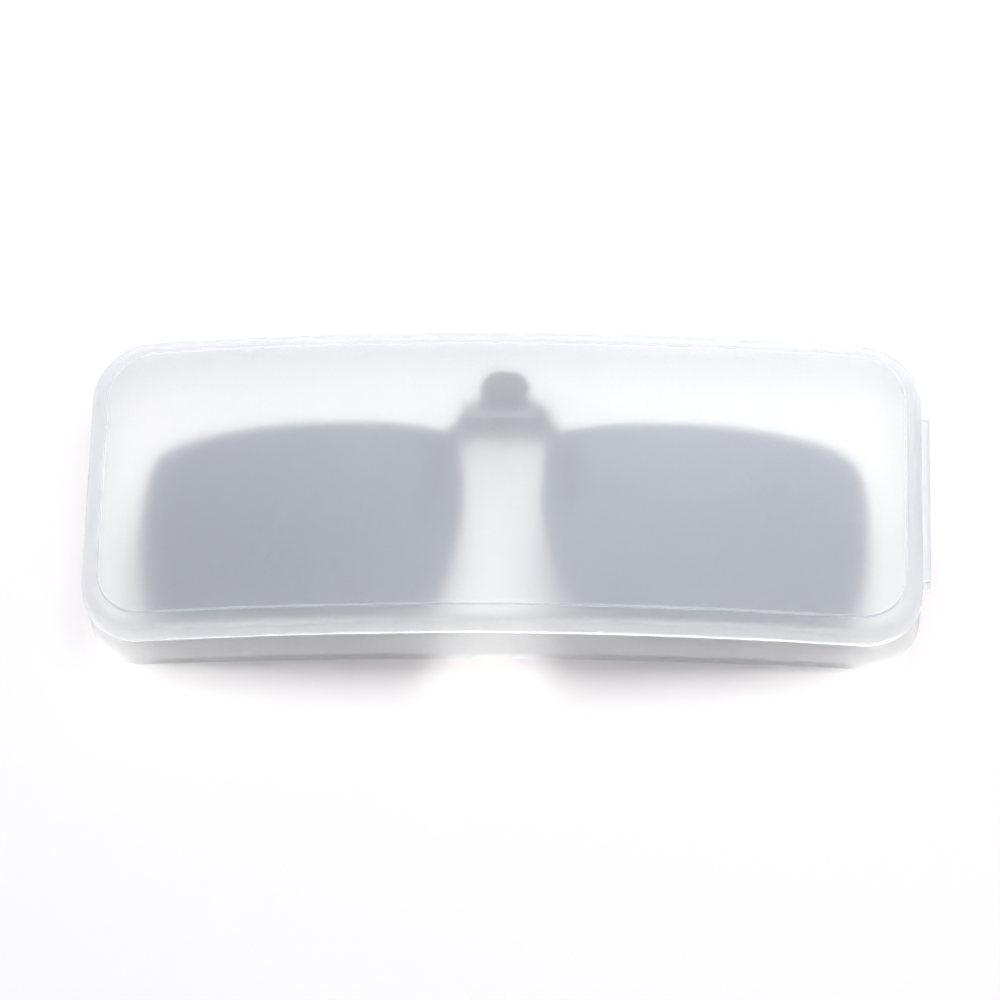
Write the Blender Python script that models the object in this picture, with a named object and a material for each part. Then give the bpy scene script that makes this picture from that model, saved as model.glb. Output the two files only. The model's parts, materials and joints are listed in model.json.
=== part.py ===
"""Flip-up clip-on sunglasses lying in their closed, arched, frosted plastic case.

Frame: metres, +Z up, +X along the case towards its hinge, +Y towards the back.
The origin is on the surface that the case rests on, below the middle of its box.
Shapes are drawn in millimetres, from the middle of the case, and scaled once, in add_piece.

The case is drawn straight and then bent: settle() lowers every point with the
square of its distance from the middle, so that both ends come down to the table.

The sunglasses are drawn in a frame of their own, the clip frame: x across, v
towards the wearer's brow, w out through the front of the lenses. Its origin is
on the flip hinge. SEAT_TILT leans that frame in the case.
"""

import math

import bmesh
import bpy
from mathutils import Matrix, Vector

MM = 0.001

# Case: driving dimensions
CASE_HALF_LENGTH = 79.5
CASE_HALF_DEPTH = 30.8
CORNER_RADIUS = 11.6
CORNER_TAPER = 0.8  # how much the corner radius shrinks for each mm of inset
BASE_HEIGHT = 12.6
LID_HEIGHT = 6.6
WALL = 1.3
PARTING_GAP = 0.18  # each half stops this far from the parting line
ARCH_RADIUS = 480.0
UNDERSIDE_RADIUS = 650.0
ARCH_RISE = 4.1
ARC_STEPS = 5
LONG_STEPS = 16
LIP_HEIGHT = 1.6
LIP_CLEARANCE = 0.35
FILLET = 1.1
PANEL_INSET = 3.1
SHOULDER_DROP = 1.75

# Living hinge on the right end
HINGE_HALF_LENGTH = 17.0
FILM_THICKNESS = 0.6
CREASE_X = CASE_HALF_LENGTH + 1.2
CREASE_LOW_Z = 9.35
CREASE_HIGH_Z = 11.15
CREASE_GAP = 0.38
LEDGE_HEIGHT = 0.8

# The hinge stands out on the right, so the case lies this far left of its box's middle
CASE_SHIFT = -0.75

# Clip frame in the case
SEAT_Y = 13.0
SEAT_Z = 15.35
SEAT_TILT = math.radians(6.0)

# Lenses
LENS_FRONT_W = 3.4
LENS_THICKNESS = 1.1
LENS_WRAP_RADIUS = 380.0
LENS_CROWN_RADIUS = 600.0
LENS_CROWN_V = -19.0
LENS_CENTRE = (38.5, -18.5)
LENS_RINGS = (1.0, 0.72, 0.36)
LENS_OUTLINE_STEPS = 2
LENS_OUTLINE = (
    (13.5, -1.0), (24.0, 0.2), (40.0, 0.4), (54.0, -1.1), (63.0, -3.4),
    (67.6, -7.6), (69.3, -17.0), (69.2, -26.0), (68.2, -32.6), (65.6, -36.5),
    (58.0, -37.8), (38.0, -38.3), (19.5, -38.0), (13.2, -36.8), (10.6, -33.0),
    (8.5, -26.0), (7.3, -18.0), (7.3, -11.5), (8.2, -6.0), (10.0, -2.9),
)
SCREW_SPOTS = {"upper": (11.6, -8.1), "lower": (12.65, -14.0)}
SCREW_RADIUS = 0.6
SCREW_HEAD_RADIUS = 1.6
HOLE_RADIUS = 0.95

# Bridge that carries both lenses
EAR_W = (0.55, 1.35)
BAR_W = (1.75, 2.65)
EAR_OUTLINE = (
    (6.5, 0.8), (9.0, 0.8), (11.0, -0.9), (15.2, -2.3), (16.7, -4.2), (16.9, -15.0),
    (15.5, -16.4), (10.7, -16.4), (9.3, -15.0), (9.3, -6.4), (8.1, -3.5), (6.5, -2.6),
)
BAR_OUTLINE = (
    (-8.9, 0.9), (8.9, 0.9), (8.9, -2.4), (8.1, -3.3), (5.6, -2.1), (2.8, -1.5), (0.0, -1.3),
    (-2.8, -1.5), (-5.6, -2.1), (-8.1, -3.3), (-8.9, -2.4),
)

# Hinges of the clip
PIN_RADIUS = 0.6
BORE_RADIUS = 0.95
KNUCKLE_RADIUS = 1.45
SIDE_KNUCKLE_X = (3.9, 6.3)
CENTRE_KNUCKLE_X = 3.5
FLIP_PIN_HALF_LENGTH = 6.9
SQUEEZE_PIN_HALF_LENGTH = 7.6
SQUEEZE_V = 1.0
SQUEEZE_W = -5.35

# Sheet-metal parts of the clip
SHEET = 0.9
FRONT_PLATE_W = (-3.2, -2.3)
FRONT_PLATE_OUTLINE = (
    (-8.6, -1.5), (8.6, -1.5), (9.6, -0.5), (9.6, 1.8), (8.0, 4.9), (-8.0, 4.9), (-9.6, 1.8),
    (-9.6, -0.5),
)
FRONT_TAB_PATH = ((4.05, -2.75), (4.25, 1.0), (4.3, 1.6), (4.9, 2.1), (9.5, 2.1))
REAR_TAB_PATH = ((1.0, -7.95), (2.0, -7.95), (3.6, -7.95), (10.2, -8.85))
RISER_TOPS = ((1.0, 7.8), (1.75, 5.8))  # (height w, half width) of the riser's two steps
TAB_HALF_WIDTH = 3.9
REAR_HALF_WIDTH = 4.6
FRONT_EAR_X = (6.0, 6.8)
REAR_EAR_X = (4.9, 5.7)

# Detent spring: a leaf under the side knuckles, held by a stud through the front plate
DETENT_W = (-2.0, -1.78)
STUD_SPOT = (0.0, 2.85)
STUD_RADIUS = 0.4
STUD_HEAD_RADIUS = 0.8
STUD_HOLE_RADIUS = 0.75

# Prongs and their rubber sleeves
WIRE_RADIUS = 0.5
SLEEVE_RADIUS = 1.4
SLEEVE_BORE = 0.88
UPPER_PRONG = (
    (8.0, 0.2, -2.75), (12.5, -0.7, -2.9), (15.6, -0.85, -3.15), (17.0, -0.78, -3.3),
    (22.3, -0.5, -3.85),
)
LOWER_PRONG = (
    (3.6, 1.8, -7.95), (6.4, 0.2, -7.85), (8.6, -2.3, -7.2), (11.6, -5.6, -5.3),
    (13.15, -10.1, -3.7),
    (13.25, -11.2, -3.66), (13.5, -15.6, -3.5),
)

# Squeeze spring
SPRING_WIRE = 0.22
SPRING_RADIUS = 1.35
SPRING_HALF_LENGTH = 2.6
SPRING_TURNS = 4.25
SPRING_STEPS = 10


def clear_scene():
    for obj in list(bpy.data.objects):
        bpy.data.objects.remove(obj, do_unlink=True)


def make_material(name, colour, roughness, metallic=0.0, alpha=1.0):
    material = bpy.data.materials.new(name)
    material.use_nodes = True
    shader = material.node_tree.nodes["Principled BSDF"]
    shader.inputs["Base Color"].default_value = (*colour, 1.0)
    shader.inputs["Roughness"].default_value = roughness
    shader.inputs["Metallic"].default_value = metallic
    shader.inputs["Alpha"].default_value = alpha
    material.diffuse_color = (*colour, alpha)
    return material


def add_empty(name, position, parent=None, tilt=0.0):
    """An empty at a position in millimetres, in its parent's frame."""
    empty = bpy.data.objects.new(name, None)
    empty.location = Vector(position) * MM
    empty.rotation_euler = (tilt, 0.0, 0.0)
    empty.parent = parent
    bpy.context.scene.collection.objects.link(empty)
    return empty


def add_piece(name, shape, material, parent, origin=(0.0, 0.0, 0.0), smooth=True):
    """Makes a named object of a bmesh in millimetres. Its origin is the given point of the
    drawing, and lies on its parent's."""
    bmesh.ops.recalc_face_normals(shape, faces=shape.faces)
    mesh = bpy.data.meshes.new(name)
    shape.to_mesh(mesh)
    shape.free()
    mesh.transform(Matrix.Scale(MM, 4) @ Matrix.Translation(-Vector(origin)))
    mesh.materials.append(material)
    if smooth:
        mesh.shade_smooth()
        mesh.set_sharp_from_angle(angle=math.radians(32.0))
    piece = bpy.data.objects.new(name, mesh)
    piece.parent = parent
    bpy.context.scene.collection.objects.link(piece)
    return piece


def boolean(shape, tools, operation):
    """The shape after a Boolean with each tool in turn. All are bmeshes, and all are used up."""
    helpers = []
    for index, source in enumerate([shape, *tools]):
        bmesh.ops.recalc_face_normals(source, faces=source.faces)
        mesh = bpy.data.meshes.new(f"helper_{index}")
        source.to_mesh(mesh)
        source.free()
        helper = bpy.data.objects.new(f"helper_{index}", mesh)
        bpy.context.scene.collection.objects.link(helper)
        helpers.append(helper)
    body = helpers[0]
    for helper in helpers[1:]:
        modifier = body.modifiers.new("boolean", "BOOLEAN")
        modifier.operation = operation
        modifier.object = helper
    graph = bpy.context.evaluated_depsgraph_get()
    result = bmesh.new()
    result.from_mesh(body.evaluated_get(graph).to_mesh())
    for helper in helpers:
        bpy.data.objects.remove(helper, do_unlink=True)
    bmesh.ops.dissolve_degenerate(result, dist=0.002, edges=result.edges)
    return result


def unite(shape, *tools):
    return boolean(shape, tools, "UNION")


def cut(shape, *tools):
    return boolean(shape, tools, "DIFFERENCE")


def loft(rings, closed_tube=False):
    """A bmesh whose side faces join rings of equal length. Its ends get one face each."""
    shape = bmesh.new()
    rows = [[shape.verts.new(point) for point in ring] for ring in rings]
    pairs = list(zip(rows, rows[1:]))
    if closed_tube:
        pairs.append((rows[-1], rows[0]))
    for low, high in pairs:
        for i in range(len(low)):
            j = (i + 1) % len(low)
            shape.faces.new((low[i], low[j], high[j], high[i]))
    if not closed_tube:
        shape.faces.new(rows[0][::-1])
        shape.faces.new(rows[-1])
    return shape


def slab(outline, w_range):
    """An outline in the x-v plane, extruded between two heights w."""
    return loft([[(x, v, w) for x, v in outline] for w in w_range])


def extrude_across(profile, x_range):
    """A profile in the v-w plane, extruded across x."""
    return loft([[(x, v, w) for v, w in profile] for x in x_range])


def box(x_range, v_range, w_range):
    (v0, v1), (w0, w1) = v_range, w_range
    return extrude_across(((v0, w0), (v1, w0), (v1, w1), (v0, w1)), x_range)


def rod_across(x_range, centre_v, centre_w, radius, sides=14):
    """A round rod along x."""
    turn = 2 * math.pi / sides
    circle = [
        (centre_v + radius * math.cos(turn * i), centre_w + radius * math.sin(turn * i))
        for i in range(sides)
    ]
    return extrude_across(circle, x_range)


def rod_up(spot, w_range, radius, sides=14):
    """A round rod along w."""
    turn = 2 * math.pi / sides
    circle = [
        (spot[0] + radius * math.cos(turn * i), spot[1] + radius * math.sin(turn * i))
        for i in range(sides)
    ]
    return slab(circle, w_range)


def bent_strip(path, thickness, x_range):
    """Sheet metal bent along a path in the v-w plane, with mitred bends."""
    points = [Vector(point) for point in path]
    normals = []
    for start, end in zip(points, points[1:]):
        run = (end - start).normalized()
        normals.append(Vector((-run.y, run.x)))
    upper = []
    lower = []
    for index, point in enumerate(points):
        before = normals[max(index - 1, 0)]
        after = normals[min(index, len(normals) - 1)]
        mitre = (before + after).normalized()
        offset = mitre * (thickness / 2 / mitre.dot(before))
        upper.append(tuple(point + offset))
        lower.append(tuple(point - offset))
    return extrude_across(upper + lower[::-1], x_range)


def smooth_path(points, steps):
    """Points on a Catmull-Rom curve through the given points."""
    guide = [Vector(point) for point in points]
    guide = [2 * guide[0] - guide[1], *guide, 2 * guide[-1] - guide[-2]]
    result = []
    for p0, p1, p2, p3 in zip(guide, guide[1:], guide[2:], guide[3:]):
        for step in range(steps):
            result.append(spline_point(p0, p1, p2, p3, step / steps))
    result.append(guide[-2])
    return result


def spline_point(p0, p1, p2, p3, t):
    return 0.5 * (
        2 * p1 + (p2 - p0) * t + (2 * p0 - 5 * p1 + 4 * p2 - p3) * t**2
        + (3 * p1 - p0 - 3 * p2 + p3) * t**3
    )


def closed_curve(points, steps):
    """A closed Catmull-Rom curve through the given points in a plane."""
    guide = [Vector(point) for point in points]
    count = len(guide)
    result = []
    for i in range(count):
        corners = [guide[(i + k - 1) % count] for k in range(4)]
        for step in range(steps):
            result.append(tuple(spline_point(*corners, step / steps)))
    return result


def wire(points, radius, sides=8, steps=3):
    """A round wire along a smooth curve through the points."""
    return sweep(smooth_path(points, steps), radius, sides)


def sweep(path, radius, sides):
    """A round wire along a path, with its rings kept from twisting."""
    path = [Vector(point) for point in path]
    side = (path[1] - path[0]).orthogonal().normalized()
    rings = []
    for index, point in enumerate(path):
        ahead = path[min(index + 1, len(path) - 1)] - path[max(index - 1, 0)]
        ahead.normalize()
        side = (side - ahead * side.dot(ahead)).normalized()
        up = ahead.cross(side)
        turn = 2 * math.pi / sides
        rings.append([
            point + radius * (side * math.cos(turn * i) + up * math.sin(turn * i))
            for i in range(sides)
        ])
    return loft(rings)


def mirrored(points):
    """The same points on the other side of x = 0."""
    return [(-point[0], *point[1:]) for point in points]


# ---------------------------------------------------------------- case


def settle(x, z):
    """Height above the table of a point drawn at height z above the case's straight underside."""
    top_drop = x * x / (2 * ARCH_RADIUS)
    underside_drop = x * x / (2 * UNDERSIDE_RADIUS)
    share = min(max(z / BASE_HEIGHT, 0.0), 1.0)
    return max(ARCH_RISE + z - underside_drop - (top_drop - underside_drop) * share, 0.0)


def half_outline(inset):
    """The back half of the case's rounded rectangle, from its right end to its left end."""
    half_x = CASE_HALF_LENGTH - inset
    half_y = CASE_HALF_DEPTH - inset
    radius = CORNER_RADIUS - CORNER_TAPER * inset
    centre_x = half_x - radius
    quarter = math.pi / 2
    points = []
    for i in range(ARC_STEPS + 1):
        angle = quarter * i / ARC_STEPS
        points.append((centre_x + radius * math.cos(angle), radius * math.sin(angle)))
    for i in range(1, LONG_STEPS):
        points.append((centre_x - 2 * centre_x * i / LONG_STEPS, radius))
    for i in range(ARC_STEPS + 1):
        angle = quarter + quarter * i / ARC_STEPS
        points.append((-centre_x + radius * math.cos(angle), radius * math.sin(angle)))
    return [(x, y + half_y - radius) for x, y in points]


def case_ring(inset, z):
    back = half_outline(inset)
    front = [(x, -y) for x, y in reversed(back)]
    return [(x, y, settle(x, z)) for x, y in back + front]


def case_shell(profile):
    """A closed shell lofted along a profile of (inset, height). Its two ends are closed by
    strips that run from front to back, so that they follow the arch."""
    shape = bmesh.new()
    rows = [[shape.verts.new(point) for point in case_ring(*step)] for step in profile]
    for low, high in zip(rows, rows[1:]):
        for i in range(len(low)):
            j = (i + 1) % len(low)
            shape.faces.new((low[i], low[j], high[j], high[i]))
    for row in (rows[0], rows[-1]):
        last = len(row) - 1
        for i in range(len(row) // 2 - 1):
            shape.faces.new((row[i], row[i + 1], row[last - i - 1], row[last - i]))
    bmesh.ops.recalc_face_normals(shape, faces=shape.faces)
    return shape


def quarter_turn(inset, z, width, height, steps, rising):
    """Profile points round a quarter ellipse that starts or ends level."""
    points = []
    for i in range(steps + 1):
        angle = math.pi / 2 * i / steps
        if rising:
            points.append((inset + width * (1 - math.cos(angle)), z + height * math.sin(angle)))
        else:
            points.append((inset + width * (1 - math.sin(angle)), z - height * math.cos(angle)))
    return points


def base_profile():
    rim = BASE_HEIGHT - PARTING_GAP
    lip_outer = WALL + LIP_CLEARANCE
    lip_inner = lip_outer + 0.9
    inner = 0.45 + WALL
    underside = quarter_turn(0.3, FILLET, FILLET, FILLET, 3, rising=False)
    floor = quarter_turn(inner + 0.05, WALL + FILLET, FILLET, FILLET, 2, rising=False)
    return [
        *underside,
        (0.2, rim),
        (lip_outer, rim),
        (lip_outer + 0.1, BASE_HEIGHT + LIP_HEIGHT),
        (lip_inner, BASE_HEIGHT + LIP_HEIGHT),
        (lip_inner, BASE_HEIGHT - 1.4),
        (inner, BASE_HEIGHT - 2.8),
        *reversed(floor),
    ]


def lid_profile():
    rim = BASE_HEIGHT + PARTING_GAP
    top = BASE_HEIGHT + LID_HEIGHT
    shoulder_z = top - 0.15 - SHOULDER_DROP
    shoulder = quarter_turn(0.1, shoulder_z, PANEL_INSET - 0.2, SHOULDER_DROP, 4, rising=True)
    return [
        (PANEL_INSET + 1.4, top - WALL + 0.1),
        (PANEL_INSET - 1.0, top - WALL - 0.35),
        (WALL + 0.15, shoulder_z - 0.6),
        (WALL, rim),
        (0.0, rim),
        *shoulder,
        (PANEL_INSET, top),
    ]


def hinge_ledge(inner_x, low_z, high_z):
    outer_x = CREASE_X + FILM_THICKNESS / 2
    half = HINGE_HALF_LENGTH
    return box((inner_x, outer_x), (-half, half), (low_z, high_z))


def make_case(case, plastic):
    base_top = CREASE_LOW_Z - CREASE_GAP
    lid_bottom = CREASE_HIGH_Z + CREASE_GAP
    base = unite(
        case_shell(base_profile()),
        hinge_ledge(CASE_HALF_LENGTH - 1.0, base_top - LEDGE_HEIGHT, base_top),
    )
    add_piece("case_base", base, plastic, case)
    lid = unite(
        case_shell(lid_profile()),
        hinge_ledge(CASE_HALF_LENGTH - 0.8, lid_bottom, lid_bottom + LEDGE_HEIGHT),
    )
    upper_crease = (CREASE_X, 0.0, CREASE_HIGH_Z)
    lower_crease = (CREASE_X, 0.0, CREASE_LOW_Z)
    lid_axis = add_empty("upper_crease_axis", upper_crease, case)
    strap_axis = add_empty("lower_crease_axis", lower_crease, case)
    add_piece("case_lid", lid, plastic, lid_axis, upper_crease)
    film = box(
        (CREASE_X - FILM_THICKNESS / 2, CREASE_X + FILM_THICKNESS / 2),
        (-HINGE_HALF_LENGTH, HINGE_HALF_LENGTH),
        (CREASE_LOW_Z + CREASE_GAP, CREASE_HIGH_Z - CREASE_GAP),
    )
    add_piece("hinge_strap", film, plastic, strap_axis, lower_crease, smooth=False)


# ---------------------------------------------------------------- lenses and bridge


def lens_front(x, v):
    """Height w of the lens's front surface."""
    wrap = x * x / (2 * LENS_WRAP_RADIUS)
    crown = (v - LENS_CROWN_V) ** 2 / (2 * LENS_CROWN_RADIUS)
    return LENS_FRONT_W - wrap - crown


def lens_shape(side):
    """A curved sheet, drawn as rings that shrink towards the lens's centre on both faces."""
    outline = closed_curve(LENS_OUTLINE, LENS_OUTLINE_STEPS)
    centre_x, centre_v = LENS_CENTRE
    shape = bmesh.new()
    rows = []
    for drop in (0.0, LENS_THICKNESS):
        scales = LENS_RINGS if drop else LENS_RINGS[::-1]
        for scale in scales:
            row = []
            for x, v in outline:
                px = centre_x + (x - centre_x) * scale
                pv = centre_v + (v - centre_v) * scale
                row.append(shape.verts.new((side * px, pv, lens_front(px, pv) - drop)))
            rows.append(row)
    for inner, outer in zip(rows, rows[1:]):
        for i in range(len(inner)):
            j = (i + 1) % len(inner)
            shape.faces.new((inner[i], inner[j], outer[j], outer[i]))
    for row, drop in ((rows[0], 0.0), (rows[-1], LENS_THICKNESS)):
        middle = shape.verts.new((side * centre_x, centre_v, lens_front(*LENS_CENTRE) - drop))
        for i in range(len(row)):
            shape.faces.new((row[i], row[(i + 1) % len(row)], middle))
    holes = [
        rod_up((side * x, v), (0.0, 5.0), HOLE_RADIUS, 10) for x, v in SCREW_SPOTS.values()
    ]
    return cut(shape, *holes)


def bridge_shape():
    """Both ears that hold the lenses, the bar over the nose and the two side knuckles."""
    body = slab(BAR_OUTLINE, BAR_W)
    extras = []
    for side in (-1, 1):
        extras.append(slab([(side * x, v) for x, v in EAR_OUTLINE], EAR_W))
        extras.append(box((side * 6.5, side * 8.8), (-2.5, 0.7), (EAR_W[0] + 0.1, BAR_W[1] - 0.1)))
        knuckle = tuple(side * x for x in SIDE_KNUCKLE_X)
        extras.append(rod_across(knuckle, 0.0, 0.0, KNUCKLE_RADIUS))
        extras.append(box(knuckle, (-1.1, 0.8), (0.2, BAR_W[0] + 0.2)))
        extras.append(box((side * 5.9, side * 6.8), (-1.0, 0.7), (EAR_W[0] + 0.05, BAR_W[1] - 0.15)))
    holes = [rod_across((-7.3, 7.3), 0.0, 0.0, BORE_RADIUS, 12)]
    for side in (-1, 1):
        for x, v in SCREW_SPOTS.values():
            holes.append(rod_up((side * x, v), (0.0, 3.0), HOLE_RADIUS, 10))
    return cut(unite(body, *extras), *holes)


def screw_shape(x, v):
    head_low = lens_front(x, v) + 0.36
    shank = rod_up((x, v), (-1.0, head_low + 0.2), SCREW_RADIUS, 10)
    head = loft([
        circle_at(x, v, head_low, SCREW_HEAD_RADIUS),
        circle_at(x, v, head_low + 0.35, SCREW_HEAD_RADIUS),
        circle_at(x, v, head_low + 0.65, SCREW_HEAD_RADIUS * 0.72),
    ])
    return unite(head, shank)


def circle_at(x, v, w, radius, sides=12):
    turn = 2 * math.pi / sides
    return [
        (x + radius * math.cos(turn * i), v + radius * math.sin(turn * i), w)
        for i in range(sides)
    ]


def nut_shape(x, v):
    outer = rod_up((x, v), (-0.75, EAR_W[0] - 0.3), 1.55, 6)
    return cut(outer, rod_up((x, v), (-2.0, 2.0), BORE_RADIUS, 10))


def squeeze_pin_shape():
    """A plain pin with a thin upset head at each end."""
    reach = SQUEEZE_PIN_HALF_LENGTH
    body = rod_across((-reach, reach), SQUEEZE_V, SQUEEZE_W, PIN_RADIUS, 10)
    heads = [
        rod_across((side * (reach - 0.4), side * reach), SQUEEZE_V, SQUEEZE_W, 1.1, 10)
        for side in (-1, 1)
    ]
    return unite(body, *heads)


def make_sunglasses(flip_axis, lens_tint, steel, dark_steel):
    for name, side in (("left", -1), ("right", 1)):
        add_piece(f"{name}_lens", lens_shape(side), lens_tint, flip_axis)
        for level, (x, v) in SCREW_SPOTS.items():
            add_piece(f"{name}_{level}_lens_screw", screw_shape(side * x, v), steel, flip_axis)
            add_piece(f"{name}_{level}_lens_nut", nut_shape(side * x, v), steel, flip_axis)
    add_piece("lens_bridge", bridge_shape(), dark_steel, flip_axis)
    pin = rod_across((-FLIP_PIN_HALF_LENGTH, FLIP_PIN_HALF_LENGTH), 0.0, 0.0, PIN_RADIUS, 10)
    add_piece("flip_pin", pin, steel, flip_axis)


# ---------------------------------------------------------------- clip


def hinge_ear(x_range, root_w, reach):
    """A plate across the squeeze pin, round at the pin and square at its root."""
    radius = 1.45
    arc = []
    for i in range(7):
        angle = math.pi * i / 6
        arc.append((SQUEEZE_V + radius * math.cos(angle), SQUEEZE_W + reach * radius * math.sin(angle)))
    profile = [(SQUEEZE_V + radius, root_w), *arc, (SQUEEZE_V - radius, root_w)]
    return extrude_across(profile, x_range)


def front_plate_shape():
    plate_mid = sum(FRONT_PLATE_W) / 2
    tools = [
        bent_strip(FRONT_TAB_PATH, SHEET, (-TAB_HALF_WIDTH, TAB_HALF_WIDTH)),
        rod_across((-CENTRE_KNUCKLE_X, CENTRE_KNUCKLE_X), 0.0, 0.0, KNUCKLE_RADIUS),
        box((-CENTRE_KNUCKLE_X, CENTRE_KNUCKLE_X), (-1.1, 1.1), (plate_mid, -0.9)),
    ]
    for top, half_width in RISER_TOPS:
        thinner = SHEET - 0.05 * (3.0 - top)
        path = (FRONT_TAB_PATH[0], (FRONT_TAB_PATH[1][0], top))
        tools.append(bent_strip(path, thinner, (-half_width, half_width)))
    for side in (-1, 1):
        ear = tuple(side * x for x in FRONT_EAR_X)
        prong = UPPER_PRONG if side > 0 else mirrored(UPPER_PRONG)
        tools.append(hinge_ear(ear, plate_mid, -1))
        tools.append(wire(prong, WIRE_RADIUS))
    body = unite(slab(FRONT_PLATE_OUTLINE, FRONT_PLATE_W), *tools)
    return cut(
        body,
        rod_across((-5.0, 5.0), 0.0, 0.0, BORE_RADIUS, 12),
        rod_across((-8.0, 8.0), SQUEEZE_V, SQUEEZE_W, BORE_RADIUS, 12),
        rod_up(STUD_SPOT, (-4.0, -2.2), STUD_HOLE_RADIUS, 10),
    )


def rear_lever_shape():
    root_w = REAR_TAB_PATH[1][1]
    tools = [bent_strip(REAR_TAB_PATH[:3], SHEET, (-REAR_HALF_WIDTH - 0.9, REAR_HALF_WIDTH + 0.9))]
    for side in (-1, 1):
        ear = tuple(side * x for x in REAR_EAR_X)
        prong = LOWER_PRONG if side > 0 else mirrored(LOWER_PRONG)
        tools.append(hinge_ear(ear, root_w, 1))
        tools.append(wire(prong, WIRE_RADIUS))
    body = unite(bent_strip(REAR_TAB_PATH[1:], SHEET, (-TAB_HALF_WIDTH, TAB_HALF_WIDTH)), *tools)
    return cut(body, rod_across((-8.0, 8.0), SQUEEZE_V, SQUEEZE_W, BORE_RADIUS, 12))


def sleeve_shape(path):
    """A rubber sleeve over the end of a prong: a round-ended tube with a blind bore."""
    end = Vector(path[-1])
    ahead = (end - Vector(path[-2])).normalized()
    side = ahead.orthogonal().normalized()
    up = ahead.cross(side)
    length = (end - Vector(path[-2])).length
    profile = [
        (SLEEVE_BORE, 0.3 - length), (SLEEVE_RADIUS, 0.3 - length), (SLEEVE_RADIUS, 0.2),
        (SLEEVE_RADIUS * 0.8, 0.85), (SLEEVE_RADIUS * 0.4, 1.15),
    ]
    turn = 2 * math.pi / 10
    rings = []
    for radius, along in [(SLEEVE_BORE, 0.4), *profile]:
        rings.append([
            end + ahead * along + radius * (side * math.cos(turn * i) + up * math.sin(turn * i))
            for i in range(10)
        ])
    return loft(rings)


def thumb_pad_shape(tip_v, tip_w, angle):
    """A rubber cap pushed over the end of a tab, drawn level and then turned with the tab."""
    outline = [
        (-4.3, -4.4), (4.3, -4.4), (4.75, -3.8), (4.75, -2.4), (4.45, -1.1), (3.7, 0.0), (2.6, 0.7),
        (1.3, 1.0), (-1.3, 1.0), (-2.6, 0.7), (-3.7, 0.0), (-4.45, -1.1), (-4.75, -2.4),
        (-4.75, -3.8),
    ]
    sections = ((0.8, -1.75), (1.0, -1.1), (1.0, 0.9), (0.9, 1.5), (0.6, 1.95))
    body = loft([
        [(x * size, -2.0 + (v + 2.0) * size, w) for x, v in outline] for size, w in sections
    ])
    pocket = box((-TAB_HALF_WIDTH - 0.3, TAB_HALF_WIDTH + 0.3), (-6.0, 0.35), (-0.8, 0.8))
    cap = cut(body, pocket)
    place = Matrix.Translation((0.0, tip_v, tip_w)) @ Matrix.Rotation(angle, 4, "X")
    bmesh.ops.transform(cap, matrix=place, verts=cap.verts)
    return cap


def squeeze_spring_shape():
    """A torsion spring round the squeeze pin, with one leg on each half of the clip."""
    half = SPRING_HALF_LENGTH
    path = [Vector((half, 4.3, -3.75)), Vector((half, 2.6, -3.9))]
    total = round(SPRING_TURNS * SPRING_STEPS)
    start = math.radians(75.0)
    for i in range(total + 1):
        angle = start - 2 * math.pi * i / SPRING_STEPS
        across = half - 2 * half * i / total
        path.append(Vector((
            across,
            SQUEEZE_V + SPRING_RADIUS * math.cos(angle),
            SQUEEZE_W + SPRING_RADIUS * math.sin(angle),
        )))
    path.append(Vector((-half, 2.8, -6.55)))
    path.append(Vector((-half, 5.2, -6.6)))
    return sweep(path, SPRING_WIRE, 6)


def detent_leaf_shape():
    """A flat U-shaped spring whose two fingers lie under the side knuckles, with a headed
    stud that holds it to the front plate."""
    outline = (
        (-6.2, 3.25), (-6.2, -1.4), (-4.0, -1.4), (-4.0, 1.9), (4.0, 1.9), (4.0, -1.4),
        (6.2, -1.4), (6.2, 3.25),
    )
    leaf_mid = sum(DETENT_W) / 2
    head_top = FRONT_PLATE_W[0] - 0.32
    return unite(
        slab(outline, DETENT_W),
        rod_up(STUD_SPOT, (head_top - 0.2, leaf_mid), STUD_RADIUS, 10),
        rod_up(STUD_SPOT, (head_top - 0.3, head_top), STUD_HEAD_RADIUS, 10),
    )


def make_clip(seat, squeeze_axis, dark_steel, steel, rubber):
    lever_origin = (0.0, SQUEEZE_V, SQUEEZE_W)
    front_tip = FRONT_TAB_PATH[-1]
    rear_tip = REAR_TAB_PATH[-1]
    rear_slope = Vector(rear_tip) - Vector(REAR_TAB_PATH[-2])
    add_piece("clip_front_plate", front_plate_shape(), dark_steel, seat)
    add_piece("flip_detent_spring", detent_leaf_shape(), steel, seat, smooth=False)
    add_piece("squeeze_pin", squeeze_pin_shape(), steel, seat)
    add_piece("squeeze_spring", squeeze_spring_shape(), steel, seat)
    add_piece("front_thumb_pad", thumb_pad_shape(*front_tip, 0.0), rubber, seat)
    for name, side in (("left", -1), ("right", 1)):
        upper = UPPER_PRONG if side > 0 else mirrored(UPPER_PRONG)
        lower = LOWER_PRONG if side > 0 else mirrored(LOWER_PRONG)
        add_piece(f"{name}_upper_prong_sleeve", sleeve_shape(upper), rubber, seat)
        add_piece(f"{name}_lower_prong_sleeve", sleeve_shape(lower), rubber, squeeze_axis,
                  origin=lever_origin)
    add_piece("clip_rear_lever", rear_lever_shape(), dark_steel, squeeze_axis, origin=lever_origin)
    rear_pad = thumb_pad_shape(*rear_tip, math.atan2(rear_slope.y, rear_slope.x))
    add_piece("rear_thumb_pad", rear_pad, rubber, squeeze_axis, origin=lever_origin)


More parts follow.
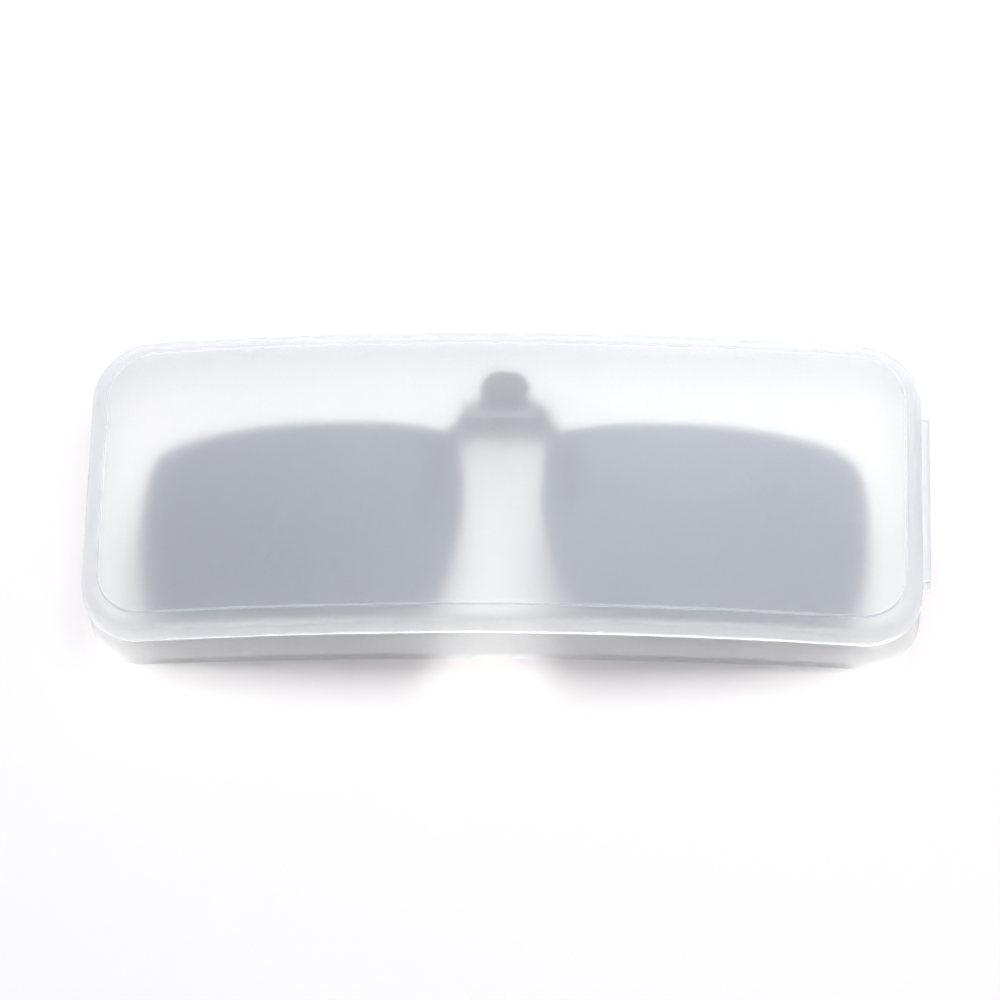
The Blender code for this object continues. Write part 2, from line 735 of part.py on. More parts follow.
def main():
    clear_scene()
    plastic = make_material("frosted_plastic", (0.9, 0.91, 0.93), 0.35, alpha=0.45)
    lens_tint = make_material("smoke_lens", (0.05, 0.055, 0.065), 0.08)
    steel = make_material("bright_steel", (0.55, 0.56, 0.58), 0.25, metallic=1.0)
    dark_steel = make_material("dark_steel", (0.06, 0.06, 0.065), 0.35, metallic=1.0)
    rubber = make_material("black_rubber", (0.02, 0.02, 0.022), 0.7)
    case = add_empty("case_middle", (CASE_SHIFT, 0.0, 0.0))
    seat = add_empty("clip_seat", (0.0, SEAT_Y, SEAT_Z), case, SEAT_TILT)
    flip_axis = add_empty("lens_flip_axis", (0.0, 0.0, 0.0), parent=seat)
    squeeze_axis = add_empty("lever_squeeze_axis", (0.0, SQUEEZE_V, SQUEEZE_W), parent=seat)
    make_case(case, plastic)
    make_sunglasses(flip_axis, lens_tint, steel, dark_steel)
    make_clip(seat, squeeze_axis, dark_steel, steel, rubber)


main()
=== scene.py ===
"""The looks of the clip-on sunglasses and their frosted case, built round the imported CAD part.

Sizes are in millimetres in the drawing functions and become metres in make_mesh.
"""

import json
import math

import bmesh
import bpy
from mathutils import Matrix, Vector

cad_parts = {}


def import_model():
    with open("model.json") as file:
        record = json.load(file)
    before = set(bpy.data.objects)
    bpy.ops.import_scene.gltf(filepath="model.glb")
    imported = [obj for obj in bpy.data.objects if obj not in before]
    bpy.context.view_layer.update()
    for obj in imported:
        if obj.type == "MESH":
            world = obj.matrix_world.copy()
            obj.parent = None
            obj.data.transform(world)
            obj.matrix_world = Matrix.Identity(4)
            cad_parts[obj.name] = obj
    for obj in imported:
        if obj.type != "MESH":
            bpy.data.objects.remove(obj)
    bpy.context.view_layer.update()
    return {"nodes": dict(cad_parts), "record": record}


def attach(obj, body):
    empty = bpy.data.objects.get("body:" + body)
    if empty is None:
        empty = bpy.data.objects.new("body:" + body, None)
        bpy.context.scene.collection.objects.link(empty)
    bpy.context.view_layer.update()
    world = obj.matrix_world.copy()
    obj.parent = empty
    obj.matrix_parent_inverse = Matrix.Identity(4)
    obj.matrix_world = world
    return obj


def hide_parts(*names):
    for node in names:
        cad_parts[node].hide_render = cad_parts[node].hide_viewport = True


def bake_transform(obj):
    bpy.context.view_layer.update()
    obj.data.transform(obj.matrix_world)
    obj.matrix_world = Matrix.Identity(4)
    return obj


MM = 0.001

# Case. Its outer sizes are those of the CAD part
CASE_HALF_LENGTH = 79.5
CASE_HALF_DEPTH = 30.8
CORNER_RADIUS = 11.6
CORNER_TAPER = 0.8
BASE_HEIGHT = 12.6
LID_HEIGHT = 6.6
WALL = 1.3
PARTING_GAP = 0.18
BASE_INSIDE = 0.45  # from the wall's own thickness to the inside of the base
LIP_CLEARANCE = 0.35
LIP_THICKNESS = 0.9
LIP_HEIGHT = 1.6
ARCH_RADIUS = 480.0
UNDERSIDE_RADIUS = 650.0
ARCH_RISE = 4.1
FILLET = 1.1
FILLET_STEPS = 8
PANEL_STEP = 0.6  # how far the lid's panel stands above the shoulder round it
SHOULDER_DROP = 1.6
LID_STEP = (  # (inset, height) up the panel's edge
    (2.99, BASE_HEIGHT + LID_HEIGHT - 0.58),
    (3.02, BASE_HEIGHT + LID_HEIGHT - 0.44),
    (3.1, BASE_HEIGHT + LID_HEIGHT - 0.27),
    (3.26, BASE_HEIGHT + LID_HEIGHT - 0.12),
    (3.46, BASE_HEIGHT + LID_HEIGHT - 0.03),
    (3.7, BASE_HEIGHT + LID_HEIGHT),
)
ARC_STEPS = 14
LONG_STEPS = 56

CASE_SHIFT = -0.75  # the case's middle lies this far left of the middle of the whole box

# Living hinge
CREASE_X = 80.7
CREASE_LOW_Z = 9.35
CREASE_HIGH_Z = 11.15
LEDGE_LOW_Z = 8.17
LEDGE_HIGH_Z = 12.33
LEDGE_THICKNESS = 0.8
LEDGE_DEPTH_IN_WALL = 0.9
LEDGE_ROUNDING = 0.18
HINGE_HALF_LENGTH = 17.0
FILM_HALF_THICKNESS = 0.3
FILM_ROWS = 24
FILM_STEPS = 20
CREASE_HALF_THICKNESS = 0.14
CREASE_HALF_WIDTH = 0.28

# Clip frame
SEAT_Y = 13.0
SEAT_Z = 15.35
SEAT_TILT = math.radians(6.0)

# Lenses
LENS_FRONT_W = 3.4
LENS_WRAP_RADIUS = 380.0
LENS_CROWN_RADIUS = 600.0
LENS_CROWN_V = -19.0
LENS_CENTRE = (38.5, -18.5)
LENS_ROWS = (  # (scale about the centre, depth below the front surface)
    (0.06, 0.0), (0.25, 0.0), (0.45, 0.0), (0.65, 0.0), (0.82, 0.0), (0.94, 0.0), (0.985, 0.0),
    (0.996, 0.08), (1.0, 0.3), (1.0, 0.8), (0.996, 1.02), (0.985, 1.1), (0.94, 1.1), (0.82, 1.1),
    (0.65, 1.1), (0.45, 1.1), (0.25, 1.1), (0.06, 1.1),
)
LENS_OUTLINE = (
    (13.5, -1.0), (24.0, 0.2), (40.0, 0.4), (54.0, -1.1), (63.0, -3.4),
    (67.6, -7.6), (69.3, -17.0), (69.2, -26.0), (68.2, -32.6), (65.6, -36.5),
    (58.0, -37.8), (38.0, -38.3), (19.5, -38.0), (13.2, -36.8), (10.6, -33.0),
    (8.5, -26.0), (7.3, -18.0), (7.3, -11.5), (8.2, -6.0), (10.0, -2.9),
)

# Thumb pads: outline (x, v) about the tab's tip, and rows of (scale, w)
PAD_OUTLINE = (
    (-4.3, -4.4), (0.0, -4.45), (4.3, -4.4), (4.75, -3.8), (4.75, -2.4), (4.4, -1.0), (3.6, 0.05),
    (2.5, 0.7), (1.3, 1.0), (-1.3, 1.0), (-2.5, 0.7), (-3.6, 0.05), (-4.4, -1.0), (-4.75, -2.4),
    (-4.75, -3.8),
)
PAD_ROWS = (
    (0.5, -1.75), (0.78, -1.7), (0.92, -1.45), (0.985, -1.1), (0.995, -0.6), (0.995, 0.5),
    (0.97, 1.0), (0.9, 1.45), (0.78, 1.75), (0.6, 1.9), (0.35, 1.95),
)
PAD_CENTRE_V = -2.0
ROUNDED_SHARP_DEGREES = 60.0
FRONT_PAD_TIP = (9.5, 2.1)
REAR_PAD_TIP = (10.2, -8.85)
REAR_PAD_LEAN = math.atan2(-0.9, 6.6)

# Camera
CAMERA_ELEVATION = math.radians(63.0)
CAMERA_AZIMUTH = math.radians(5.15)
CAMERA_ROLL = math.radians(-4.27)
CAMERA_DISTANCE = 1.05
CAMERA_LENS = 200.33
CAMERA_SHIFT = (-0.00198, -0.02891)
PANEL_TOP_Z = 0.0233

# Plastic
CASE_CLEARNESS = 0.83
HINGE_CLEARNESS = 0.78
EDGE_PAINTED_HIGHLIGHT = 0.45  # painted highlight: how much less of the light a marked edge lets through, so that it shows whiter as if it glinted
BASE_PAINTED_SHADE = 0.94  # painted shade: the base and the hinge are the same plastic as the lid, made a little darker than the lid in colour to stand in for shade
HINGE_PAINTED_SHADE = 0.965
FROST_ROUGHNESS = (0.43, 0.55)
EDGE_ROUGHNESS = 0.15
SPECKLE_HEIGHT = 0.00008
EVEN = (1.0, 1.0, 1.0)
FRONT_TO_BACK = (14.0, 0.4, 0.4)  # crowds the noise along x, so its streaks run along y
STREAK_TINTS = ((0.946, 0.94, 0.931), (0.967, 0.961, 0.953))

# Sockets of a Mix node, by number because several share a name
MIX_VALUE_A = 2
MIX_VALUE_B = 3
MIX_COLOURS = (6, 7)
MIX_VALUE_RESULT = 0
MIX_COLOUR_RESULT = 2

# Light
LIGHT_BOUNCES = 24  # light crosses eight frosted surfaces on its way to the floor and back
WORLD_BRIGHT_SIDE = (0.12, 0.55, 0.83)
WORLD_DIM = 0.46
WORLD_BRIGHT = 0.81
WORLD_SPAN = (-0.4, 0.9)
AIR_COLOUR = (0.82, 0.88, 1.0, 1.0)
KEY_POSITION = (0.12, 0.52, 0.76)
KEY_SIZE = 0.4
KEY_ENERGY = 2.9
FILL_POSITION = (0.1, 0.1, 0.93)
FILL_SIZE = 0.7
FILL_ENERGY = 2.3
LAMP_COLOUR = (0.92, 0.96, 1.0)
FLOOR_COLOUR = (0.975, 0.91, 0.85, 1.0)
FLOOR_ROUGHNESS = 0.6
FLOOR_HALF_SIZE = 3000.0
FLOOR_Z = -0.15  # just under the case's feet, so that no two faces coincide


# ---------------------------------------------------------------- meshes


def make_mesh(name, points, faces, sharp_degrees=40.0):
    mesh = bpy.data.meshes.new(name)
    shift = Vector((CASE_SHIFT, 0.0, 0.0))
    mesh.from_pydata([(Vector(point) + shift) * MM for point in points], [], faces)
    mesh.validate()
    mesh.update()
    obj = bpy.data.objects.new(name, mesh)
    bpy.context.scene.collection.objects.link(obj)
    mesh.shade_smooth()
    mesh.set_sharp_from_angle(angle=math.radians(sharp_degrees))
    return obj


def spline_point(p0, p1, p2, p3, t):
    return 0.5 * (
        2 * p1 + (p2 - p0) * t + (2 * p0 - 5 * p1 + 4 * p2 - p3) * t**2
        + (3 * p1 - p0 - 3 * p2 + p3) * t**3
    )


def ring_walls(rows, size):
    """The quads between each ring of points and the next."""
    faces = []
    for low in range(0, rows * size, size):
        for i in range(size):
            j = (i + 1) % size
            faces.append((low + i, low + j, low + size + j, low + size + i))
    return faces


def strip_caps(rows, size):
    """The quads that close the first and last ring, each ring being two mirrored halves."""
    faces = []
    for start, flip in ((0, True), (rows * size, False)):
        for i in range(size // 2 - 1):
            strip = (start + i, start + i + 1, start + size - i - 2, start + size - i - 1)
            faces.append(strip[::-1] if flip else strip)
    return faces


def closed_curve(points, steps):
    guide = [Vector(point) for point in points]
    count = len(guide)
    result = []
    for i in range(count):
        corners = [guide[(i + k - 1) % count] for k in range(4)]
        for step in range(steps):
            result.append(tuple(spline_point(*corners, step / steps)))
    return result


# ---------------------------------------------------------------- case


def settle(x, z):
    """Height above the table of a point drawn at height z above the straight underside."""
    top_drop = x * x / (2 * ARCH_RADIUS)
    underside_drop = x * x / (2 * UNDERSIDE_RADIUS)
    share = min(max(z / BASE_HEIGHT, 0.0), 1.0)
    return max(ARCH_RISE + z - underside_drop - (top_drop - underside_drop) * share, 0.0)


def half_outline(inset):
    half_x = CASE_HALF_LENGTH - inset
    half_y = CASE_HALF_DEPTH - inset
    radius = CORNER_RADIUS - CORNER_TAPER * inset
    centre_x = half_x - radius
    quarter = math.pi / 2
    points = []
    for i in range(ARC_STEPS + 1):
        angle = quarter * i / ARC_STEPS
        points.append((centre_x + radius * math.cos(angle), radius * math.sin(angle)))
    for i in range(1, LONG_STEPS):
        points.append((centre_x - 2 * centre_x * i / LONG_STEPS, radius))
    for i in range(ARC_STEPS + 1):
        angle = quarter + quarter * i / ARC_STEPS
        points.append((-centre_x + radius * math.cos(angle), radius * math.sin(angle)))
    return [(x, y + half_y - radius) for x, y in points]


def case_ring(inset, z):
    back = half_outline(inset)
    front = [(x, -y) for x, y in reversed(back)]
    return [(x, y, settle(x, z)) for x, y in back + front]


def case_shell(name, profile):
    rings = [case_ring(inset, z) for inset, z in profile]
    points = [point for ring in rings for point in ring]
    rows = len(rings) - 1
    size = len(rings[0])
    return make_mesh(name, points, ring_walls(rows, size) + strip_caps(rows, size))


def quarter_turn(inset, z, width, height, steps, rising):
    points = []
    for i in range(steps + 1):
        angle = math.pi / 2 * i / steps
        if rising:
            points.append((inset + width * (1 - math.cos(angle)), z + height * math.sin(angle)))
        else:
            points.append((inset + width * (1 - math.sin(angle)), z - height * math.cos(angle)))
    return points


def base_profile():
    rim = BASE_HEIGHT - PARTING_GAP
    lip_top = BASE_HEIGHT + LIP_HEIGHT
    lip_outer = WALL + LIP_CLEARANCE
    lip_inner = lip_outer + LIP_THICKNESS
    inner = BASE_INSIDE + WALL
    underside = quarter_turn(0.3, FILLET, FILLET, FILLET, FILLET_STEPS, rising=False)
    floor = quarter_turn(inner + 0.05, WALL + FILLET, FILLET, FILLET, 6, rising=False)
    return [
        *underside,
        (0.21, rim - 0.5),
        (0.2, rim - 0.3),
        (0.27, rim - 0.1),
        (0.42, rim),
        (lip_outer - 0.1, rim),
        (lip_outer, rim + 0.15),
        (lip_outer + 0.1, lip_top - 0.2),
        (lip_outer + 0.3, lip_top),
        (lip_inner - 0.2, lip_top),
        (lip_inner, lip_top - 0.2),
        (lip_inner, BASE_HEIGHT - 1.4),
        (inner, BASE_HEIGHT - 2.8),
        *reversed(floor),
    ]


def lid_profile():
    rim = BASE_HEIGHT + PARTING_GAP
    top = BASE_HEIGHT + LID_HEIGHT
    shoulder_z = top - PANEL_STEP - SHOULDER_DROP
    shoulder = quarter_turn(0.1, shoulder_z, 2.85, SHOULDER_DROP, 12, rising=True)
    inner_shoulder = quarter_turn(WALL + 0.1, shoulder_z - 0.9, 2.9, 1.6, 8, rising=True)
    return [
        *reversed(inner_shoulder),
        (WALL, rim + 0.1),
        (WALL - 0.1, rim),
        (0.12, rim),
        (0.0, rim + 0.12),
        *shoulder,
        *LID_STEP,
    ]


def mark_polished_highlight_edge(shell, first_ring, last_ring):
    """Marks the rings of a shell that make an edge, where the plastic is smooth, as the mould
    polishes it, and whiter, a painted highlight.
    """
    ring_size = len(case_ring(0.0, 0.0))
    layer = shell.data.attributes.new("polish_and_painted_highlight", "FLOAT", "POINT")
    for index in range(first_ring * ring_size, (last_ring + 1) * ring_size):
        layer.data[index].value = 1.0


def ribbon(name, low_z, high_z, crease_z, rows):
    """A strip of the hinge between two heights, thinner at its crease."""
    points = []
    for row in range(rows + 1):
        z = low_z + (high_z - low_z) * row / rows
        near = min(abs(z - crease_z) / CREASE_HALF_WIDTH, 1.0)
        ease = near * near * (3 - 2 * near)
        half = CREASE_HALF_THICKNESS + (FILM_HALF_THICKNESS - CREASE_HALF_THICKNESS) * ease
        for side in (1, -1):
            for i in range(FILM_STEPS + 1):
                y = HINGE_HALF_LENGTH * (2 * i / FILM_STEPS - 1) * side
                points.append((CREASE_X + side * half, y, z))
    size = 2 * (FILM_STEPS + 1)
    return make_mesh(name, points, ring_walls(rows, size) + strip_caps(rows, size))


def rounded_block(name, low, high, radius):
    """A box with rounded edges, between two corners."""
    (x0, y0, z0), (x1, y1, z1) = low, high
    points = [(x, y, z) for x in (x0, x1) for y in (y0, y1) for z in (z0, z1)]
    faces = [(0, 1, 3, 2), (4, 6, 7, 5), (0, 4, 5, 1), (2, 3, 7, 6), (0, 2, 6, 4), (1, 5, 7, 3)]
    block = make_mesh(name, points, faces)
    shape = bmesh.new()
    shape.from_mesh(block.data)
    bmesh.ops.bevel(
        shape, geom=shape.edges, offset=radius * MM, segments=3, affect="EDGES", profile=0.5
    )
    shape.to_mesh(block.data)
    shape.free()
    block.data.shade_smooth()
    return block


def add_hinge(plastic):
    middle_z = (CREASE_LOW_Z + CREASE_HIGH_Z) / 2
    ledge_low_top = LEDGE_LOW_Z + LEDGE_THICKNESS
    ledge_high_bottom = LEDGE_HIGH_Z - LEDGE_THICKNESS
    joints = (
        ("lower_film", ledge_low_top, middle_z, CREASE_LOW_Z, "case_and_clip", "hinge_film"),
        ("upper_film", middle_z, ledge_high_bottom, CREASE_HIGH_Z, "hinge_film", "lid"),
    )
    for name, low_z, high_z, crease_z, first, second in joints:
        film = ribbon(name, low_z, high_z, crease_z, FILM_ROWS)
        dress(film, plastic)
        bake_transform(film)
        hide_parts("hinge_strap")
    outer_x = CREASE_X + FILM_HALF_THICKNESS
    inner_x = CASE_HALF_LENGTH - LEDGE_DEPTH_IN_WALL
    half = HINGE_HALF_LENGTH
    ledges = (
        ("base_hinge_ledge", LEDGE_LOW_Z, ledge_low_top, "case_and_clip"),
        ("lid_hinge_ledge", ledge_high_bottom, LEDGE_HIGH_Z, "lid"),
    )
    for name, low_z, high_z, body in ledges:
        low = (inner_x, -half, low_z)
        high = (outer_x, half, high_z)
        ledge = rounded_block(name, low, high, LEDGE_ROUNDING)
        dress(ledge, plastic)
        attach(ledge, body)


# ---------------------------------------------------------------- thumb pads


def pad_look(name, tip_v, tip_w, angle):
    """A rubber cap with rounded edges, turned with the tab it sits on."""
    outline = closed_curve(PAD_OUTLINE, 3)
    lean = Matrix.Rotation(angle, 3, "X")
    points = []
    for scale, w in PAD_ROWS:
        for x, v in outline:
            spot = lean @ Vector((x * scale, PAD_CENTRE_V + (v - PAD_CENTRE_V) * scale, w))
            points.append(to_case(spot.x, tip_v + spot.y, tip_w + spot.z))
    size = len(outline)
    walls = ring_walls(len(PAD_ROWS) - 1, size)
    faces = [tuple(range(size)), tuple(range(len(points) - size, len(points)))[::-1]]
    faces += [(b, a, d, c) for a, b, c, d in walls]
    return make_mesh(name, points, faces, ROUNDED_SHARP_DEGREES)


# ---------------------------------------------------------------- lenses


def lens_front(x, v):
    wrap = x * x / (2 * LENS_WRAP_RADIUS)
    crown = (v - LENS_CROWN_V) ** 2 / (2 * LENS_CROWN_RADIUS)
    return LENS_FRONT_W - wrap - crown


def lens_look(name, side):
    """A smooth curved lens with rounded edges."""
    outline = closed_curve(LENS_OUTLINE, 6)
    centre_x, centre_v = LENS_CENTRE
    points = []
    for scale, drop in LENS_ROWS:
        for x, v in outline:
            px = centre_x + (x - centre_x) * scale
            pv = centre_v + (v - centre_v) * scale
            points.append(to_case(side * px, pv, lens_front(px, pv) - drop))
    size = len(outline)
    faces = ring_walls(len(LENS_ROWS) - 1, size)
    faces.append(tuple(range(size))[::-1])
    faces.append(tuple(range(len(points) - size, len(points))))
    if side < 0:
        faces = [face[::-1] for face in faces]
    return make_mesh(name, points, faces, ROUNDED_SHARP_DEGREES)


def to_case(x, v, w):
    """A point of the clip frame in the case's frame."""
    cos = math.cos(SEAT_TILT)
    sin = math.sin(SEAT_TILT)
    return (x, SEAT_Y + v * cos - w * sin, SEAT_Z + v * sin + w * cos)


# ---------------------------------------------------------------- materials


def principled(name):
    material = bpy.data.materials.new(name)
    material.use_nodes = True
    return material, material.node_tree, material.node_tree.nodes["Principled BSDF"]


def object_noise(tree, scale, stretch, detail=3.0):
    coordinates = tree.nodes.new("ShaderNodeTexCoord")
    mapping = tree.nodes.new("ShaderNodeMapping")
    mapping.inputs["Scale"].default_value = stretch
    noise = tree.nodes.new("ShaderNodeTexNoise")
    noise.inputs["Scale"].default_value = scale
    noise.inputs["Detail"].default_value = detail
    tree.links.new(coordinates.outputs["Object"], mapping.inputs["Vector"])
    tree.links.new(mapping.outputs["Vector"], noise.inputs["Vector"])
    return noise.outputs["Fac"]


def spread(tree, value, low, high):
    """The value, brought from 0..1 to low..high."""
    scaled = tree.nodes.new("ShaderNodeMapRange")
    scaled.inputs["To Min"].default_value = low
    scaled.inputs["To Max"].default_value = high
    tree.links.new(value, scaled.inputs["Value"])
    return scaled.outputs["Result"]


def add_bump(tree, shader, height, strength, distance):
    bump = tree.nodes.new("ShaderNodeBump")
    bump.inputs["Strength"].default_value = strength
    bump.inputs["Distance"].default_value = distance
    tree.links.new(height, bump.inputs["Height"])
    tree.links.new(bump.outputs["Normal"], shader.inputs["Normal"])


def frosted_plastic(name, clearness, shade=1.0):
    """Milky polypropylene: part rough glass and part white, with the mould's fine grain. The shade
    factor darkens its colour as painted shade, and the marked edges are smooth and whiter, the
    whiteness being a painted highlight.
    """
    material, tree, shader = principled(name)
    shader.inputs["IOR"].default_value = 1.4
    shader.inputs["Transmission Weight"].default_value = clearness
    streaks = object_noise(tree, 60.0, FRONT_TO_BACK, 3.0)
    tint = tree.nodes.new("ShaderNodeMix")
    tint.data_type = "RGBA"
    # shade darkens both streak tints: painted shade, used for the base and the hinge
    for socket, colour in zip(MIX_COLOURS, STREAK_TINTS):
        tint.inputs[socket].default_value = (*(shade * channel for channel in colour), 1.0)
    tree.links.new(streaks, tint.inputs[0])
    tree.links.new(tint.outputs[MIX_COLOUR_RESULT], shader.inputs["Base Color"])
    edge = tree.nodes.new("ShaderNodeAttribute")
    edge.attribute_name = "polish_and_painted_highlight"
    grain = object_noise(tree, 900.0, EVEN)
    rough = tree.nodes.new("ShaderNodeMix")
    rough.inputs[MIX_VALUE_B].default_value = EDGE_ROUGHNESS
    tree.links.new(edge.outputs["Fac"], rough.inputs[0])
    tree.links.new(spread(tree, grain, *FROST_ROUGHNESS), rough.inputs[MIX_VALUE_A])
    tree.links.new(rough.outputs[MIX_VALUE_RESULT], shader.inputs["Roughness"])
    # the marked edges let less light through and show whiter: a painted highlight
    clear = spread(tree, edge.outputs["Fac"], clearness, clearness - EDGE_PAINTED_HIGHLIGHT)
    tree.links.new(clear, shader.inputs["Transmission Weight"])
    speckle = object_noise(tree, 2200.0, EVEN, 1.0)
    add_bump(tree, shader, speckle, 0.6, SPECKLE_HEIGHT)
    return material


def smoke_lens():
    material, tree, shader = principled("smoke_lens")
    shader.inputs["Base Color"].default_value = (0.09, 0.1, 0.165, 1.0)
    shader.inputs["IOR"].default_value = 1.5
    shader.inputs["Transmission Weight"].default_value = 0.85
    smudge = object_noise(tree, 25.0, EVEN)
    tree.links.new(spread(tree, smudge, 0.03, 0.1), shader.inputs["Roughness"])
    return material


def blackened_steel():
    material, tree, shader = principled("dark_steel")
    shader.inputs["Base Color"].default_value = (0.035, 0.035, 0.038, 1.0)
    shader.inputs["Metallic"].default_value = 1.0
    wear = object_noise(tree, 400.0, EVEN)
    tree.links.new(spread(tree, wear, 0.28, 0.45), shader.inputs["Roughness"])
    return material


def bright_steel():
    material, tree, shader = principled("bright_steel")
    shader.inputs["Base Color"].default_value = (0.58, 0.58, 0.6, 1.0)
    shader.inputs["Metallic"].default_value = 1.0
    wear = object_noise(tree, 600.0, EVEN)
    tree.links.new(spread(tree, wear, 0.18, 0.35), shader.inputs["Roughness"])
    return material


def black_rubber():
    material, tree, shader = principled("black_rubber")
    shader.inputs["Base Color"].default_value = (0.02, 0.02, 0.022, 1.0)
    grain = object_noise(tree, 1500.0, EVEN)
    tree.links.new(spread(tree, grain, 0.55, 0.75), shader.inputs["Roughness"])
    return material


def dress(obj, material):
    obj.data.materials.clear()
    obj.data.materials.append(material)


# ---------------------------------------------------------------- studio


def add_floor():
    half = FLOOR_HALF_SIZE
    square = ((-half, -half), (half, -half), (half, half), (-half, half))
    corners = [(x, y, FLOOR_Z) for x, y in square]
    floor = make_mesh("studio_floor", corners, [(0, 1, 2, 3)])
    material, tree, shader = principled("studio_white")
    shader.inputs["Base Color"].default_value = FLOOR_COLOUR
    shader.inputs["Roughness"].default_value = FLOOR_ROUGHNESS
    dress(floor, material)


def add_world():
    """White studio air: bright above and behind the object, dim in front of it."""
    world = bpy.data.worlds.new("studio_air")
    world.use_nodes = True
    tree = world.node_tree
    background = tree.nodes["Background"]
    coordinates = tree.nodes.new("ShaderNodeTexCoord")
    facing = tree.nodes.new("ShaderNodeVectorMath")
    facing.operation = "DOT_PRODUCT"
    facing.inputs[1].default_value = WORLD_BRIGHT_SIDE
    tree.links.new(coordinates.outputs["Generated"], facing.inputs[0])
    strength = tree.nodes.new("ShaderNodeMapRange")
    strength.interpolation_type = "SMOOTHSTEP"
    strength.inputs["From Min"].default_value = WORLD_SPAN[0]
    strength.inputs["From Max"].default_value = WORLD_SPAN[1]
    strength.inputs["To Min"].default_value = WORLD_DIM
    strength.inputs["To Max"].default_value = WORLD_BRIGHT
    tree.links.new(facing.outputs["Value"], strength.inputs["Value"])
    tree.links.new(strength.outputs["Result"], background.inputs["Strength"])
    background.inputs["Color"].default_value = AIR_COLOUR
    bpy.context.scene.world = world


def add_area_light(name, position, target, size, energy):
    light = bpy.data.lights.new(name, "AREA")
    light.shape = "SQUARE"
    light.size = size
    light.energy = energy
    light.color = LAMP_COLOUR
    lamp = bpy.data.objects.new(name, light)
    lamp.location = position
    aim = Vector(target) - Vector(position)
    lamp.rotation_euler = aim.to_track_quat("-Z", "Y").to_euler()
    bpy.context.scene.collection.objects.link(lamp)
    return lamp


def limit_shade(lamp, casters):
    """Lets only these pieces shade the lamp, because the clear case lets its light through."""
    collection = bpy.data.collections.new(f"{lamp.name}_shade")
    for caster in casters:
        collection.objects.link(caster)
    lamp.light_linking.blocker_collection = collection


def add_camera():
    """The camera's place and turn. Its lens axis meets the panel's middle, and its shift
    moves that point off the middle of the picture."""
    across = Vector((math.cos(CAMERA_AZIMUTH), math.sin(CAMERA_AZIMUTH), 0.0))
    level = Vector((-math.sin(CAMERA_AZIMUTH), math.cos(CAMERA_AZIMUTH), 0.0))
    ahead = level * math.cos(CAMERA_ELEVATION) - Vector((0, 0, math.sin(CAMERA_ELEVATION)))
    up = across.cross(ahead)
    right = across * math.cos(CAMERA_ROLL) + up * math.sin(CAMERA_ROLL)
    up = up * math.cos(CAMERA_ROLL) - across * math.sin(CAMERA_ROLL)
    place = Vector((CASE_SHIFT * MM, 0.0, PANEL_TOP_Z)) - ahead * CAMERA_DISTANCE
    data = bpy.data.cameras.new("camera")
    data.lens = CAMERA_LENS
    data.sensor_width = 36.0
    data.shift_x, data.shift_y = CAMERA_SHIFT
    camera = bpy.data.objects.new("camera", data)
    turn = Matrix((right, up, -ahead)).transposed().to_4x4()
    camera.matrix_world = Matrix.Translation(place) @ turn
    bpy.context.scene.collection.objects.link(camera)
    bpy.context.scene.camera = camera


def dress_nodes(frame, finishes):
    """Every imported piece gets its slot's finish, and the small screws and nuts are blackened."""
    slots = {piece["node"]: piece["material_slot"] for piece in frame["record"]["subparts"]}
    for name, node in frame["nodes"].items():
        dress(node, finishes[slots[name]])
        if "screw" in name or "nut" in name:
            dress(node, finishes["dark_steel"])


def add_look(look, finish, body, node):
    dress(look, finish)
    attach(look, body)
    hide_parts(node)


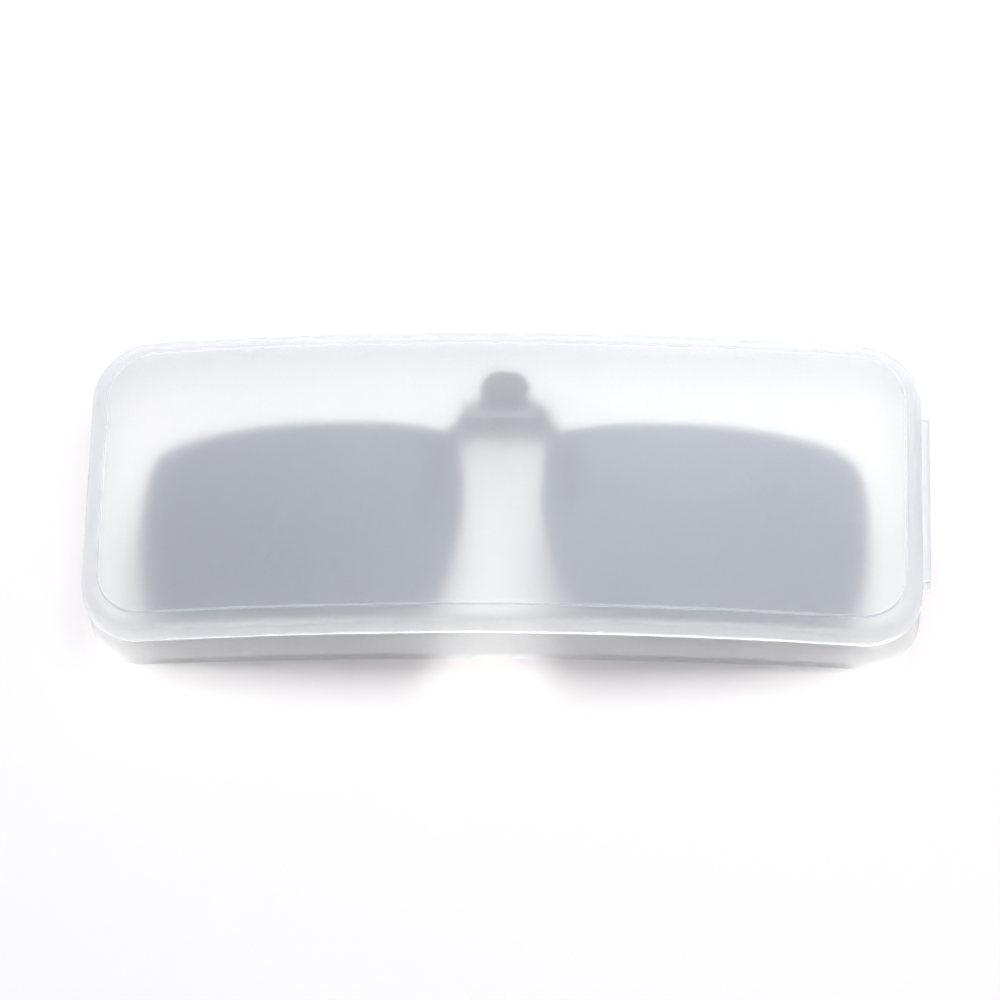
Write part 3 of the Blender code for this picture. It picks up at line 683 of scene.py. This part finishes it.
def add_case(lid_plastic, base_plastic_painted_shade):
    base = case_shell("case_base_look", base_profile())
    lid = case_shell("case_lid_look", lid_profile())
    add_look(base, base_plastic_painted_shade, "case_and_clip", "case_base")
    add_look(lid, lid_plastic, "lid", "case_lid")
    # painted highlights on the panel's step and on the base's rim, which are also polished smooth
    panel_edge = len(lid_profile()) - len(LID_STEP) + 2
    mark_polished_highlight_edge(lid, panel_edge, panel_edge + 1)
    base_rim = FILLET_STEPS + 2
    mark_polished_highlight_edge(base, base_rim, base_rim + 2)


def add_lenses(tint):
    lenses = []
    for name, side in (("left_lens", -1), ("right_lens", 1)):
        lens = lens_look(f"{name}_look", side)
        add_look(lens, tint, "lenses", name)
        lenses.append(lens)
    return lenses


def add_pads(rubber):
    pads = (
        ("front_thumb_pad", "case_and_clip", FRONT_PAD_TIP, 0.0),
        ("rear_thumb_pad", "rear_lever", REAR_PAD_TIP, REAR_PAD_LEAN),
    )
    for node, body, tip, lean in pads:
        add_look(pad_look(f"{node}_look", *tip, lean), rubber, body, node)


def set_render_light():
    """Plain colours, and enough bounces for light to cross the whole case."""
    scene = bpy.context.scene
    scene.view_settings.view_transform = "Standard"
    scene.cycles.max_bounces = LIGHT_BOUNCES
    scene.cycles.transmission_bounces = LIGHT_BOUNCES
    scene.cycles.blur_glossy = 0.0


def add_lamps(lenses):
    middle = (0.0, 0.0, 0.0)
    key = add_area_light("key", KEY_POSITION, middle, KEY_SIZE, KEY_ENERGY)
    limit_shade(key, lenses)
    add_area_light("fill", FILL_POSITION, middle, FILL_SIZE, FILL_ENERGY)


def main():
    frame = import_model()
    set_render_light()

    finishes = {
        "frosted_plastic": frosted_plastic("frosted_plastic", CASE_CLEARNESS),
        "smoke_lens": smoke_lens(),
        "bright_steel": bright_steel(),
        "dark_steel": blackened_steel(),
        "black_rubber": black_rubber(),
    }
    # the base and the hinge get darker copies of the lid's plastic: painted shade
    base_plastic_painted_shade = frosted_plastic("frosted_base_painted_shade", CASE_CLEARNESS, BASE_PAINTED_SHADE)
    hinge_plastic_painted_shade = frosted_plastic("frosted_hinge_painted_shade", HINGE_CLEARNESS, HINGE_PAINTED_SHADE)
    dress_nodes(frame, finishes)
    add_case(finishes["frosted_plastic"], base_plastic_painted_shade)
    add_hinge(hinge_plastic_painted_shade)
    lenses = add_lenses(finishes["smoke_lens"])
    add_pads(finishes["black_rubber"])

    add_floor()
    add_world()
    add_lamps(lenses)
    add_camera()


main()
